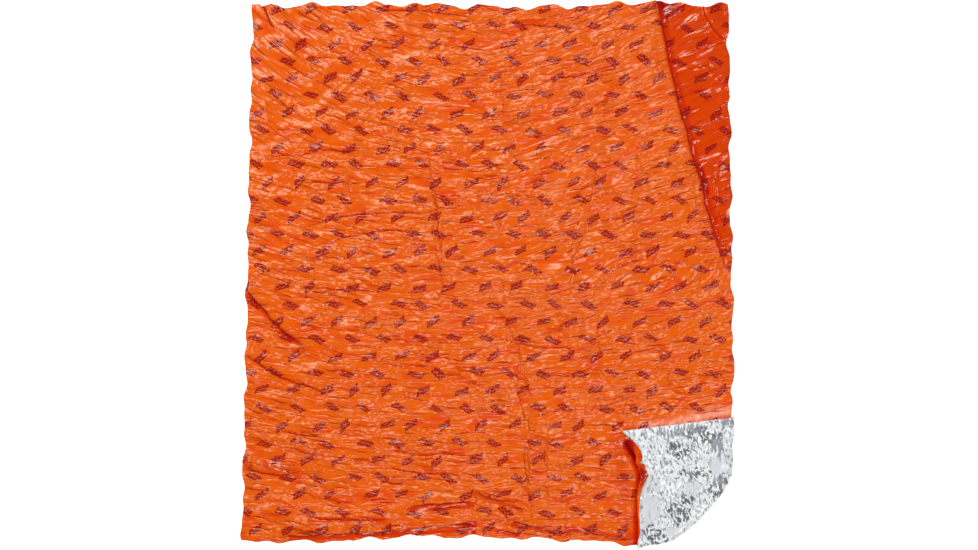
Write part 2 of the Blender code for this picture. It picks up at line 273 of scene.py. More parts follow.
# The crumple, as bowls that meet in sharp ridges: their size along and across the
# grain, their depth, the share of it left where the film is calm, and two seeds.
CRUMPLE = [(120, 30, 6.5, 0.55, 40, 20), (52, 17, 2.6, 0.3, 41, 21), (30, 26, 1.8, 0, 42, 22)]
# How far the bowls' rows wander and how often, as shares of a bowl's own size.
CRUMPLE_WANDER = (0.35, 1.7, 0.6)
# The calm places: their length and width, and the noise that starts and ends them.
CALM_SIZE = (210, 120)
CALM_START, CALM_RANGE, CALM_SEED = 0.25, 0.4, 3
# Small tucks, where the film laps over itself for a short way.
TUCK_SEED = 5
TUCKS = 420
TUCK_HALF_LENGTH = (18, 75)
TUCK_HEIGHT = (1.6, 3.8)
TUCK_LAP = (1.6, 3.2)
TUCK_BACK = 26
TUCK_BOW = 4
TUCK_FADE = 0.4
# How dark each tuck's painted shade line is.
TUCK_DARKNESS = (0.35, 1.0)
TUCK_SCATTER = 9
# The crinkle on the turned-over corner, as two sets of bowls: size, depth and seed.
CORNER_CRINKLE = [(40, 26, 2.5, 60), (20, 20, 1.0, 61)]
CRINKLE_SLANT = 0.3
# Where in the corner's fan the crinkle is at its full depth.
CRINKLE_FULL = 0.15
# The tables behind the bowls and the soft noise repeat after this many cells.
REPEAT = 256
# The silver face's patches, where dark speckles and dark streaks of reflection are painted,
# and where the film is calm and painted a greyer reflection: the middle of each, its
# half-width and its half-length.
PATCHES = {
    "speckled": [
        (568, -521, 42, 26), (620, -590, 52, 14), (685, -646, 34, 32),
        (576, -700, 34, 42), (500, -780, 30, 24), (630, -480, 60, 20),
    ],
    "calm": [
        (486, -700, 27, 62), (684, -571, 26, 26), (566, -768, 42, 15),
        (470, -610, 22, 22), (610, -640, 22, 26),
    ],
    "dark": [
        (716, -440, 20, 18), (548, -474, 40, 14), (626, -462, 50, 16),
        (684, -505, 20, 34), (690, -622, 18, 16),
    ],
}


def smooth(t):
    """A step from 0 to 1 that starts and ends level."""
    t = np.clip(t, 0.0, 1.0)
    return t * t * (3 - 2 * t)


def along(table, at):
    """The value of a two-column table at these places."""
    places, values = zip(*table)
    return np.interp(at, places, values)


def wander(at, edge, inward):
    """The in-and-out wander of an edge, which dies out this far inward."""
    phase, strength = edge
    total = sum(
        height * np.sin(2 * math.pi * at / length + start + phase)
        for length, height, start in SCALLOPS
    )
    return strength * total * np.exp(-inward / SCALLOP_DEPTH)


def edge_point(table, share, upright):
    """The point at this share of an edge's length, on its table."""
    first, last = table[0][0], table[-1][0]
    place = first + (last - first) * share
    across = along(table, place)
    return (across, place) if upright else (place, across)


def laid_plan(u, v):
    """Where the point (u, v) of the sheet lies before its corner is turned over."""
    near, far = (edge_point(table, u, False) for table in (NEAR_EDGE, FAR_EDGE))
    left, right = (edge_point(table, v, True) for table in (LEFT_EDGE, RIGHT_EDGE))
    corners = [NEAR_EDGE[0], NEAR_EDGE[-1], FAR_EDGE[0], FAR_EDGE[-1]]
    weights = [(1 - u) * (1 - v), u * (1 - v), (1 - u) * v, u * v]
    x, y = (
        near[axis] * (1 - v)
        + far[axis] * v
        + left[axis] * (1 - u)
        + right[axis] * u
        - sum(corner[axis] * weight for corner, weight in zip(corners, weights))
        for axis in (0, 1)
    )
    width = CORNER[0] - NEAR_EDGE[0][0]
    length = FAR_EDGE[0][1] - NEAR_EDGE[0][1]
    clear_of_corner = smooth((y - TURN_RIGHT[1]) / SCALLOP_DEPTH)
    x = x + wander(y, LEFT_WANDER, width * u)
    x = x - wander(y, RIGHT_WANDER, width * (1 - u)) * clear_of_corner
    clear_of_corner = smooth((TURN_NEAR[0] - x) / SCALLOP_DEPTH)
    y = y + wander(x, NEAR_WANDER, length * v) * clear_of_corner
    y = y - wander(x, FAR_WANDER, length * (1 - v))
    return x, y


def blended(table, row, column, up, right):
    """A value between four neighbours in a table that repeats past its ends."""
    rows, columns = table.shape
    left, right_of_it = column % columns, (column + 1) % columns
    low, high = (
        table[at, left] * (1 - right) + table[at, right_of_it] * right
        for at in (row % rows, (row + 1) % rows)
    )
    return low * (1 - up) + high * up


def grain_angle(x, y):
    """The way the creases run at each place, in radians."""
    column = np.interp(x, GRAIN_X, range(len(GRAIN_X)))
    row = np.interp(y, GRAIN_Y, range(len(GRAIN_Y)))
    i = np.minimum(np.floor(row).astype(int), len(GRAIN_Y) - 2)
    j = np.minimum(np.floor(column).astype(int), len(GRAIN_X) - 2)
    return blended(np.radians(np.array(GRAIN_ANGLES, float)), i, j, row - i, column - j)


def all_folds():
    """The laps, the creases and the small tucks, each as a dictionary of its sizes."""
    laps = [dict(zip(FOLD_COLUMNS, row)) for row in FOLDS]
    laps[0]["dark"] = PLEAT_LINE
    steps = [{**dict(zip(CREASE_COLUMNS, row)), **CREASE_SHAPE} for row in CREASES]
    for step in steps:
        upright = abs(step["y1"] - step["y0"]) > abs(step["x1"] - step["x0"])
        step["dark"] = UPRIGHT_LINE if upright else 1.0
        step["height"] *= CREASE_STEP
    return laps + steps + small_tucks()


def small_tucks():
    """Short tucks all over the sheet, along the grain."""
    rng = np.random.default_rng(TUCK_SEED)
    tucks = []
    for _ in range(TUCKS):
        x = rng.uniform(GRAIN_X[0], GRAIN_X[-1])
        y = rng.uniform(GRAIN_Y[0], GRAIN_Y[-1])
        angle = float(grain_angle(x, y)) + math.radians(rng.normal(0, TUCK_SCATTER))
        reach = rng.uniform(*TUCK_HALF_LENGTH) * rng.choice([-1, 1])
        reach_x, reach_y = reach * math.cos(angle), reach * math.sin(angle)
        line = (x - reach_x, y - reach_y, x + reach_x, y + reach_y)
        sizes = (rng.normal(0, TUCK_BOW), rng.uniform(*TUCK_HEIGHT), rng.uniform(*TUCK_LAP))
        row = (*line, *sizes, TUCK_BACK, TUCK_FADE, TUCK_FADE)
        tucks.append(dict(zip(FOLD_COLUMNS, row), dark=rng.uniform(*TUCK_DARKNESS)))
    return tucks


def by_line(x, y, line):
    """How far along a line each point is, as a share, how far to the right of it, and
    the way to the right."""
    x0, y0, x1, y1 = line
    run_x, run_y = x1 - x0, y1 - y0
    length = math.hypot(run_x, run_y)
    side = run_y / length, -run_x / length
    share = ((x - x0) * run_x + (y - y0) * run_y) / length**2
    return share, (x - x0) * side[0] + (y - y0) * side[1], side


def beside(x, y, f):
    """How far each point is to the right of a fold's line, the fold's strength there,
    and the way to the right of it."""
    t, off, side = by_line(x, y, (f["x0"], f["y0"], f["x1"], f["y1"]))
    off = off - f["bow"] * 4 * t * (1 - t)
    strength = 1.0
    for from_end, fade in ((t, f["fade_0"]), (1 - t, f["fade_1"])):
        if fade:
            strength = strength * smooth(from_end / fade)
    return off, strength, side


def pleat_shade(x, y):
    """How much shade is painted on the film in the pleat's valley and beyond it, from 0 to 1."""
    off, strength, _ = beside(x, y, dict(zip(FOLD_COLUMNS, FOLDS[0])))
    valley = 1 - smooth((off - PLEAT_VALLEY_START) / PLEAT_VALLEY_WIDTH)
    valley = np.maximum(PLEAT_VALLEY * valley, PLEAT_BEYOND)
    shoulder = smooth(off / PLEAT_SHOULDER + PLEAT_SHOULDER_START)
    return smooth(strength / PLEAT_FULL_AT) * shoulder * valley


def half_bend(f):
    """Half the width over which a fold's layers bend over each other."""
    return BEND_PER_LAP * f["lap"] + BEND_PER_HEIGHT * f["height"]


def fold(off, strength, f):
    """One fold's shift of the film to its right, its rise, and how much it smooths."""
    half_width = half_bend(f)
    turn = math.pi * np.clip((off / half_width + 1) / 2, 0, 1)
    shift = f["lap"] * strength * np.sin(2 * turn)
    come_down = 1 - smooth((-off - half_width) / f["back"])
    rise = f["height"] * strength * (1 + np.cos(turn)) / 2 * come_down
    rise = rise + LAYER_CLEARANCE * strength * np.sin(turn)
    smoothing = strength * np.exp(-((off / half_width / SMOOTHED_BENDS) ** 2))
    return shift, rise, smoothing


def fold_shade(off, strength, f):
    """How much shade is painted at each point in a fold's hollow, how many widths it is off
    the middle of the fold's painted dark line, and how dark that line is there."""
    half_width = half_bend(f)
    into = smooth((off / half_width - HOLLOW_START) / (HOLLOW_FULL - HOLLOW_START))
    reach = HOLLOW_REACH + HOLLOW_REACH_PER_LAP * f["lap"]
    out_of = 1 - smooth((off - HOLLOW_END * half_width) / reach)
    start, full = HOLLOW_LAPS
    painted_shade = strength * into * out_of * smooth((f["lap"] - start) / (full - start))
    from_line = off - half_width * (LINE_PLACE + LINE_PLACE_PER_LAP * f["lap"])
    line_width = LINE_WIDTH + LINE_WIDTH_PER_LAP * f["lap"]
    line = strength**0.5 * np.exp(-((from_line / LINE_FADE) ** 2)) * f.get("dark", 1.0)
    return painted_shade, from_line / line_width, line


def along_lines(x, y, lines):
    """How near each point is to these lines: a line's depth on it and 0 well clear."""
    nearest = np.zeros_like(x)
    for *line, half_width, depth in lines:
        share, off, _ = by_line(x, y, line)
        past_end = (share - np.clip(share, 0, 1)) * math.dist(line[:2], line[2:])
        off = np.hypot(off, past_end)
        nearest = np.maximum(nearest, depth * np.exp(-((off / half_width) ** 2)))
    return nearest


def ridges(x, y):
    """The height of the small ridges, each a sharp line that dies out at its ends."""
    rng = np.random.default_rng(RIDGE_SEED)
    total = np.zeros_like(x)
    spacing_x = (GRAIN_X[-1] - GRAIN_X[0]) / RIDGE_COLUMNS
    spacing_y = (GRAIN_Y[-1] - GRAIN_Y[0]) / RIDGE_ROWS
    for row, column in np.ndindex(RIDGE_ROWS, RIDGE_COLUMNS):
        centre_x = GRAIN_X[0] + (column + rng.random()) * spacing_x
        centre_y = GRAIN_Y[0] + (row + rng.random()) * spacing_y
        angle = float(grain_angle(centre_x, centre_y))
        angle += math.radians(rng.normal(0, RIDGE_SCATTER))
        if rng.random() < RIDGE_CROSSING_SHARE:
            angle += math.radians(rng.choice(RIDGE_CROSSING_ANGLES))
        half_length = rng.uniform(*RIDGE_HALF_LENGTH)
        half_width = rng.uniform(*RIDGE_HALF_WIDTH)
        height = rng.uniform(*RIDGE_HEIGHT)
        dx, dy = x - centre_x, y - centre_y
        t = (dx * math.cos(angle) + dy * math.sin(angle)) / half_length
        off = (dy * math.cos(angle) - dx * math.sin(angle)) / half_width
        off = np.hypot(off, RIDGE_ROUNDING) - RIDGE_ROUNDING
        total += height * np.exp(-off) * np.clip(1 - t * t, 0, 1) ** 2
    return total


def swell(x, y):
    """The broad unevenness of a sheet that doesn't lie quite flat."""
    total = np.zeros_like(x)
    for length, direction, height in SWELLS:
        way = x * math.cos(direction) + y * math.sin(direction)
        total += height * np.sin(2 * math.pi * way / length + direction)
    return np.maximum(total, 0)


def bowls(x, y, seed):
    """Bowls about 1 wide that meet in sharp ridges, from 0 to about 0.8 deep."""
    jitter = np.random.default_rng(seed).random((2, REPEAT, REPEAT))
    column, row = np.floor(x).astype(int), np.floor(y).astype(int)
    nearest = np.full_like(x, np.inf)
    for i, j in np.ndindex(3, 3):
        cell_x, cell_y = column + i - 1, row + j - 1
        in_x, in_y = jitter[:, cell_x % REPEAT, cell_y % REPEAT]
        off_x, off_y = x - (cell_x + in_x), y - (cell_y + in_y)
        nearest = np.minimum(nearest, off_x**2 + off_y**2)
    return nearest


def soft_noise(x, y, seed):
    """Smooth noise about 1 wide, from 0 to 1."""
    values = np.random.default_rng(seed).random((REPEAT, REPEAT))
    column, row = np.floor(x).astype(int), np.floor(y).astype(int)
    return blended(values, column, row, smooth(x - column), smooth(y - row))


def wandered(x, y):
    """The points moved this way and that, so that the folds' lines wander."""
    bent_x, bent_y = x.copy(), y.copy()
    for length, reach, seed_x, seed_y in FOLD_WANDER:
        bent_x += reach * (2 * soft_noise(x / length, y / length, seed_x) - 1)
        bent_y += reach * (2 * soft_noise(x / length, y / length, seed_y) - 1)
    return bent_x, bent_y


def grain_coordinate(x, y):
    """How far across the grain each point of the grid lies.

    Lines of equal value follow the grain, and shift at the packing folds.
    """
    slope = np.tan(grain_angle(x, y))
    step = np.diff(x, axis=1, prepend=x[:, :1])
    drift = np.cumsum(slope * step, axis=1)
    drift -= drift[:, [drift.shape[1] // 2]]
    across = y - drift
    for points, width, shift in PANELS:
        ends = smooth((y - points[0][0]) / PANEL_ENDS) * smooth((points[-1][0] - y) / PANEL_ENDS)
        across = across + shift * ends * smooth((x - along(points, y)) / width)
    return across


def crumple(x, across):
    """The height of the crumple between the creases."""
    calm = soft_noise(x / CALM_SIZE[0], across / CALM_SIZE[1], CALM_SEED)
    calm = smooth((calm - CALM_START) / CALM_RANGE)
    reach, pace_x, pace_y = CRUMPLE_WANDER
    total = np.zeros_like(x)
    for length, width, depth, left, seed, wander_seed in CRUMPLE:
        wander = soft_noise(x / length * pace_x, across / width * pace_y, wander_seed)
        layer = bowls(x / length, across / width + reach * wander, seed)
        total += depth * layer * (left + (1 - left) * calm)
    return total


def ramp(x, y):
    """How far the sheet rises to the corner's far edge."""
    share, off, _ = by_line(x, y, RAMP)
    ends = smooth(along(RAMP_ENDS, share))
    return RAMP_HEIGHT * ends * (1 - smooth(np.abs(off) / RAMP_REACH))


def crinkle(x, y):
    """The height of the crinkle on the turned-over corner."""
    slanted = x + CRINKLE_SLANT * y
    return sum(
        depth * bowls(slanted / length, y / width, seed)
        for length, width, depth, seed in CORNER_CRINKLE
    )


def fan_coordinates(x, y):
    """Where a point of the corner is in its fan.

    spread runs from 0 on the ray to TURN_NEAR to 1 on the ray to TURN_RIGHT, and
    onward from 0 on the line between them to 1 at CORNER.
    """
    near, right, corner = (np.array(p, float) for p in (TURN_NEAR, TURN_RIGHT, CORNER))
    to_weights = np.linalg.inv(np.column_stack([near - corner, right - corner]))
    weight_near, weight_right = (
        row[0] * (x - corner[0]) + row[1] * (y - corner[1]) for row in to_weights
    )
    onward = 1 - weight_near - weight_right
    spread = weight_right / np.maximum(weight_near + weight_right, 1e-6)
    return spread, onward


def unit(start, end):
    """The direction from one point to another."""
    way = np.array(end, float) - np.array(start, float)
    return way / np.linalg.norm(way)


def under_corner(x, y):
    """1 where the turned-over corner lies on the sheet, and 0 well clear of it."""
    covered = 1.0
    for end in (TURN_NEAR, TURN_RIGHT):
        way = unit(TIP, end)
        inside = (x - TIP[0]) * way[0] + (y - TIP[1]) * way[1]
        covered = covered * smooth((inside + PRESSED_MARGIN) / PRESSED_BLEND)
    return covered


def turn_back_lip(x, y, z, on_top):
    """Turns up the corner's near edge and lays it back over the corner."""
    edge_way = unit(TIP, TURN_NEAR)
    inward = np.array((-edge_way[1], edge_way[0]))
    distance = (x - TIP[0]) * edge_way[0] + (y - TIP[1]) * edge_way[1]
    from_edge = (x - TIP[0]) * inward[0] + (y - TIP[1]) * inward[1]
    width = along(LIP, distance)
    past_bend = np.clip(width - from_edge, 0, None) * on_top
    turn = np.clip(past_bend / LIP_RADIUS, 0, math.pi)
    flat_run = past_bend - turn * LIP_RADIUS
    moved = width - LIP_RADIUS * np.sin(turn) + flat_run
    shift = np.where(past_bend > 0, moved - from_edge, 0)
    return x + shift * inward[0], y + shift * inward[1], z + LIP_RADIUS * (1 - np.cos(turn))


def turn_corner(x, y, z):
    """Carries the points past the turn line round the roll and back over the sheet.

    z is their height off the film's own surface, on its printed side, which ends up
    facing down.
    """
    spread, onward = fan_coordinates(x, y)
    turned = onward > 0
    spread = np.clip(spread, 0, 1)
    start_x, start_y = (
        near + (right - near) * spread - tip
        for near, right, tip in zip(TURN_NEAR, TURN_RIGHT, TIP)
    )
    start = np.hypot(start_x, start_y)
    ray_x, ray_y = start_x / start, start_y / start
    middle = np.sin(math.pi * spread) ** ROLL_SWELLING
    radius = ROLL_RADIUS_END + (ROLL_RADIUS_MIDDLE - ROLL_RADIUS_END) * middle
    # the film runs on along the floor, round the roll, and back to the tip
    back_run = along(FAN_RADIUS, spread) - radius
    floor_run = back_run - start
    roll_run = math.pi * radius
    run = onward * (floor_run + roll_run + back_run)
    angle = np.clip((run - floor_run) / radius, 0, math.pi)
    back = np.clip((run - floor_run - roll_run) / back_run, 0, 1)
    reach = start + np.minimum(run, floor_run) + radius * np.sin(angle) - back * back_run
    height = radius * (1 - np.cos(angle)) + (TIP_HEIGHT - 2 * radius) * smooth(back)
    for place, half_width, buckle_height in BUCKLES:
        across = np.exp(-(((spread - place) / half_width) ** 2))
        height += buckle_height * across * np.sin(math.pi * back)
    # the printed side faces into the roll
    turned_x = TIP[0] + (reach - z * np.sin(angle)) * ray_x
    turned_y = TIP[1] + (reach - z * np.sin(angle)) * ray_y
    height = height + z * np.cos(angle)
    bent = turn_back_lip(turned_x, turned_y, height, turned & (back > 0))
    return tuple(np.where(turned, *pair) for pair in zip(bent, (x, y, z)))


def lay_out(u, v):
    """The place of every point (u, v) of the sheet, its two texture places, and the
    shades that its faces are painted with, by name."""
    x, y = laid_plan(u, v)
    across = grain_coordinate(x, y)
    plan, grain = np.stack([x, y], axis=-1), np.stack([x, across], axis=-1)
    z = np.maximum(swell(x, y) + ridges(x, y) - SETTLED, 0)
    z = z + crumple(x, across)
    # the depth of painted shade, first in the pleat's valley and beyond it
    painted_shade = pleat_shade(x, y)
    z = z * (1 - PLEAT_CALM * smooth(painted_shade / PLEAT_BEYOND))
    # the folds' shift and rise, and the shade and dark lines painted along them
    move_x, move_y, lift, line = (np.zeros_like(x) for _ in range(4))
    from_line = np.full_like(x, NO_LINE)
    bent_x, bent_y = wandered(x, y)
    for sizes in all_folds():
        off, strength, side = beside(bent_x, bent_y, sizes)
        shift, rise, smoothing = fold(off, strength, sizes)
        depth, place_on_line, line_depth = fold_shade(off, strength, sizes)
        move_x += shift * side[0]
        move_y += shift * side[1]
        lift += rise
        z = z * (1 - smoothing)
        painted_shade = np.maximum(painted_shade, depth)
        from_line = np.where(line_depth > line, place_on_line, from_line)
        line = np.maximum(line, line_depth)
    onward = fan_coordinates(x, y)[1]
    on_floor = onward < 0
    # more painted shade along lines, and painted sheen, where the sheet isn't turned over
    painted_shade = np.maximum(painted_shade, along_lines(x, y, SHADE_LINES) * on_floor)
    painted_sheen = along_lines(x, y, SHEEN_BANDS) * on_floor
    z = (z + lift) * (1 - under_corner(x, y))
    z = z + ramp(x, y) * on_floor
    z = z + crinkle(x, y) * smooth(onward / CRINKLE_FULL)
    x, y, z = turn_corner(x, y, z)
    # uneven painted shade on the strip turned back over the corner
    lip = LIP_SHADE + LIP_UNEVEN * soft_noise(x / LIP_BLOTCH, y / LIP_BLOTCH, LIP_SEED)
    painted_shade = np.maximum(painted_shade, lip * smooth((onward - LIP_START) / LIP_RANGE))
    place = np.stack([x + move_x + CENTRED[0], y + move_y + CENTRED[1], z], axis=-1)
    shades = {"painted_shade": painted_shade, "painted_sheen": painted_sheen, "line": line, "from_line": from_line}
    shades |= {kind: patches(x, y, rows) for kind, rows in PATCHES.items()}
    return place, plan, grain, shades


def patches(x, y, rows):
    """How far each point is into these patches of the silver face, from 0 to 1."""
    inside = np.zeros_like(x)
    for middle_x, middle_y, half_width, half_length in rows:
        off = np.hypot((x - middle_x) / half_width, (y - middle_y) / half_length)
        inside = np.maximum(inside, np.exp(-(off**3)))
    return inside


# ---- the meshes


def graded(table):
    """Shares from 0 to 1 with this many cells up to each share."""
    shares, start = [np.array([0.0])], 0.0
    for share, cells in table:
        shares.append(np.linspace(start, share, cells + 1)[1:])
        start = share
    return np.concatenate(shares)


def grid_normals(place):
    """The direction out of the printed side at each point of the grid."""
    along_u = np.gradient(place, axis=1)
    along_v = np.gradient(place, axis=0)
    normal = np.cross(along_u, along_v)
    return normal / np.maximum(np.linalg.norm(normal, axis=-1, keepdims=True), 1e-9)


def facing_away(normal):
    """How far the film slopes away from the light at each point, from 0 to 1."""
    toward = normal[..., 0] * LIGHT_FROM[0] + normal[..., 1] * LIGHT_FROM[1]
    return smooth((-toward - AWAY_START) / AWAY_RANGE)


def face_mesh(name, place, plan, grain, shades, face_down):
    """One face of the film as a smooth grid mesh with its texture places and shades."""
    rows, columns = place.shape[:2]
    corner = (np.arange(rows - 1)[:, None] * columns + np.arange(columns - 1)).ravel()
    quads = np.column_stack([corner, corner + 1, corner + columns + 1, corner + columns])
    if face_down:
        # turned over, but split into triangles along the same diagonal
        quads = quads[:, [0, 3, 2, 1]]
    mesh = bpy.data.meshes.new(name)
    mesh.vertices.add(rows * columns)
    mesh.vertices.foreach_set("co", (place.reshape(-1, 3) * MM).ravel())
    mesh.loops.add(quads.size)
    mesh.loops.foreach_set("vertex_index", quads.ravel())
    mesh.polygons.add(len(quads))
    mesh.polygons.foreach_set("loop_start", np.arange(0, quads.size, 4))
    mesh.polygons.foreach_set("use_smooth", np.ones(len(quads), bool))
    for layer, texture_place in (("plan", plan), ("grain", grain)):
        per_corner = texture_place.reshape(-1, 2)[quads.ravel()] * MM
        mesh.uv_layers.new(name=layer).data.foreach_set("uv", per_corner.ravel())
    for shade, values in shades.items():
        attribute = mesh.attributes.new(shade, "FLOAT", "POINT")
        attribute.data.foreach_set("value", values.ravel().astype(np.float32))
    mesh.update()
    mesh.validate()
    return mesh


def placed(name, data):
    """A new object in the scene."""
    made = bpy.data.objects.new(name, data)
    bpy.context.scene.collection.objects.link(made)
    return made


def faces():
    """The film's two faces, as objects."""
    u, v = np.meshgrid(graded(GRID_U), graded(GRID_V))
    place, plan, grain, shades = lay_out(u, v)
    normal = grid_normals(place)
    # where the redder shade is painted, on slopes that face away from the light
    shades["away"] = facing_away(normal)
    made = []
    for name, offset, face_down in (
        ("film_orange", ORANGE_OFFSET, False),
        ("film_silver", SILVER_OFFSET, True),
    ):
        moved = place + normal * offset
        moved[..., 2] = np.maximum(moved[..., 2], offset)
        own_plan = moved[..., :2] if face_down else plan
        mesh = face_mesh(name, moved, own_plan, grain, shades, face_down)
        made.append(placed(name, mesh))
    return made


# ---- the materials


class Output:
    """An output of a node, which sums can be written with."""

    def __init__(self, nodes, socket):
        self.nodes, self.socket = nodes, socket

    def __add__(self, other):
        return self.nodes.math("ADD", self, other)

    def __sub__(self, other):
        return self.nodes.math("SUBTRACT", self, other)

    def __mul__(self, other):
        return self.nodes.math("MULTIPLY", self, other)

    def __truediv__(self, other):
        return self.nodes.math("DIVIDE", self, other)


class Nodes:
    """The nodes of a material or the world, its shader and those that are added."""

    def __init__(self, owner, shader="Principled BSDF"):
        owner.use_nodes = True
        self.owner, self.tree = owner, owner.node_tree
        self.shader = self.tree.nodes[shader]

    def join(self, node, inputs):
        """Links outputs to a node's inputs, or sets them to plain values."""
        for name, value in inputs.items():
            if isinstance(value, Output):
                self.tree.links.new(value.socket, node.inputs[name])
            else:
                node.inputs[name].default_value = value

    def add(self, kind, inputs, **settings):
        """A node of this kind, with its inputs set or linked."""
        node = self.tree.nodes.new(kind)
        for setting, value in settings.items():
            setattr(node, setting, value)
        self.join(node, inputs)
        return node

    def out(self, output, kind, inputs, **settings):
        """One output of a new node."""
        return Output(self, self.add(kind, inputs, **settings).outputs[output])

    def split(self, kind, value):
        """The three numbers in a place or a colour."""
        return [Output(self, part) for part in self.add(kind, {0: value}).outputs[:3]]

    def math(self, operation, first, second=0.0):
        """One sum on numbers or outputs."""
        return self.out(0, "ShaderNodeMath", {0: first, 1: second}, operation=operation)

    def shade(self, name):
        """One of the face's painted shades, from its mesh."""
        return self.out("Fac", "ShaderNodeAttribute", {}, attribute_name=name)

    def uv(self, layer):
        """The texture places of one layer, in metres."""
        return self.out("UV", "ShaderNodeUVMap", {}, uv_map=layer)

    def scaled(self, place, length, width, turned=0.0):
        """A texture place measured in this length and width, turned by some degrees."""
        inputs = {
            "Vector": place,
            "Rotation": (0, 0, math.radians(turned)),
            "Scale": (length * MM, width * MM, 1),
        }
        return self.out("Vector", "ShaderNodeMapping", inputs, vector_type="TEXTURE")

    def mix(self, share, first, second):
        """A colour from first to second by this share."""
        inputs = {0: share, 6: first, 7: second}
        return self.out(2, "ShaderNodeMix", inputs, data_type="RGBA")

    def noise(self, place, detail=2.0, roughness=0.5, output="Fac"):
        """Noise at these texture places, from 0 to 1."""
        inputs = {"Vector": place, "Scale": 1.0, "Detail": detail, "Roughness": roughness}
        return self.out(output, "ShaderNodeTexNoise", inputs)

    def cells(self, place, output):
        """Uneven cells about 1 wide."""
        return self.out(output, "ShaderNodeTexVoronoi", {"Vector": place, "Scale": 1.0})

    def bowls(self, place, size, turned=0.0):
        """Bowls of this length, width and height that meet in sharp ridges."""
        length, width, height = size
        distance = self.cells(self.scaled(place, length, width, turned), "Distance")
        return self.math("POWER", distance, 2.0) * height

    def facets(self, place, size):
        """A number from 0 to 1 for each facet of this length and width."""
        colour = self.cells(self.scaled(place, *size), "Color")
        return self.split("ShaderNodeSeparateColor", colour)[0]

    def step(self, value, start, end):
        """0 where the value is at start or before it, and 1 at end or past it."""
        inputs = {"Value": value, "From Min": start, "From Max": end}
        return self.out(0, "ShaderNodeMapRange", inputs)

    def patchy(self, place, size):
        """0 in some places and 1 in others: the length, width and detail of the noise
        that picks them, and its values where this starts and is full."""
        length, width, detail, start, full = size
        return self.step(self.noise(self.scaled(place, length, width), detail), start, full)

    def wandering(self, place, sway):
        """A texture place moved this way and that: the length and width of the sway,
        and about twice its reach."""
        length, width, reach = sway
        way = self.noise(self.scaled(place, length, width), 1.0, output="Color")
        inputs = {0: way, 1: (reach * MM, reach * MM, 0), 2: place}
        return self.out(0, "ShaderNodeVectorMath", inputs, operation="MULTIPLY_ADD")

    def finish(self, height, inputs):
        """The material, with a bump from a height in millimetres and these inputs."""
        bump = {"Height": height, "Strength": 1.0, "Distance": MM}
        self.join(self.shader, {"Normal": self.out("Normal", "ShaderNodeBump", bump), **inputs})
        return self.owner


# The printed marks: rows of small slanted bands of zigzag, in millimetres and degrees.
MARK_PITCH = (100, 52)
MARK_SIZE = (42, 19)
MARK_SCATTER = (36, 9)
MARK_TILTS = (12, 40)
MARK_SHEAR = 0.5
MARK_ROW_SHIFT = 0.38
MARK_SWAY = (75, 50, 20)
ZIGZAG_STROKE = 8.2
ZIGZAG_SPACING = 10.0
ZIGZAG_TOOTH, ZIGZAG_TOOTH_HEIGHT = 14.0, 6.0

# The film's own orange; painted shade low in its wrinkles and on slopes away from the light;
# painted sheen; painted shade in hollows, dark shade lines and black shadow; then the maroon ink.
ORANGE = (0.65, 0.117, 0.001, 1)
ORANGE_LOW_SHADE_AND_TONE = (0.63, 0.053, 0.001, 1)
ORANGE_PAINTED_SHEEN = (0.86, 0.42, 0.27, 1)
ORANGE_AWAY_SHADE = (0.70, 0.078, 0.001, 1)
ORANGE_PAINTED_SHADE = (0.46, 0.012, 0.001, 1)
ORANGE_SHADE_LINE = (0.11, 0.003, 0.001, 1)
DEEP_SHADOW = (0.01, 0.001, 0.001, 1)
MAROON = (0.11, 0.004, 0.003, 1)
MAROON_PALE = (0.24, 0.018, 0.008, 1)
# The gloss, and a painted red glow, an emission that stands in for the light that comes
# back out of the film's folds.
ORANGE_GLOSS_AND_GLOW = {
    "Specular IOR Level": 0.47,
    "Specular Tint": (0.91, 0.94, 0.74, 1),
    "Emission Color": (1.0, 0.0, 0.0, 1),
    "Emission Strength": 0.18,
}
ROUGHNESS = 0.25
# How much smoother the film is where shade is painted in a hollow, and the share of its
# relief that is gone.
HOLLOW_SMOOTHER = 0.07
HOLLOW_CALMER = 0.72
# The depths of painted shade where the film starts to turn a painted dark red, then a
# painted black shadow, calm and smooth, and where each of these is full.
TO_RED, TO_BLACK = (0.0, 0.6), (0.6, 1.0)
TO_CALM, TO_SMOOTH = (0.1, 0.32), (0.1, 0.3)
# How many widths off a fold's painted dark shade line it starts and is full.
FOLD_LINE = (1.2, 0.4)
# The film is painted a deeper orange low in its wrinkles, as shade, and in cloudy patches
# of uneven tone.
TONE_HEIGHTS = (1.6, 3.6)
CLOUDS, CLOUD_STRENGTH = (160, 60), 4.0
# How strongly the redder shade is painted on slopes that face away from the light.
AWAY_STRENGTH = 0.85
# The least strength of the painted sheen, and how much stronger it is in its streaks.
SHEEN_LEAST, SHEEN_MORE = 0.55, 0.4

# Thin dark lines of painted shade where the film is nipped along the grain, and its rise
# beside them.
LINE_SPACING = 20
LINE_HALF_WIDTH = 0.8
LINE_BLUR = 1.0
LINE_SWAY = (90, 34, 26)
LINE_DARKNESS = 0.8
LINE_SLOPE, LINE_SLOPE_WIDTH = 0.35, 5.0

# The fine wrinkles, as bowls of a length, a width and a height, and their sways.
FACETS = (84, 30, 4.2)
WRINKLES = (44, 16, 2.5)
PEBBLES = (15, 8.5, 1.85)
WRINKLE_SWAY = (70, 40, 18)
SLANTING, SLANTING_TURN = (66, 20, 2.8), 38
SLANTING_SWAY = (80, 80, 30)
# The share of the wrinkles that is left where the film isn't busy.
WRINKLES_LEFT = 0.4

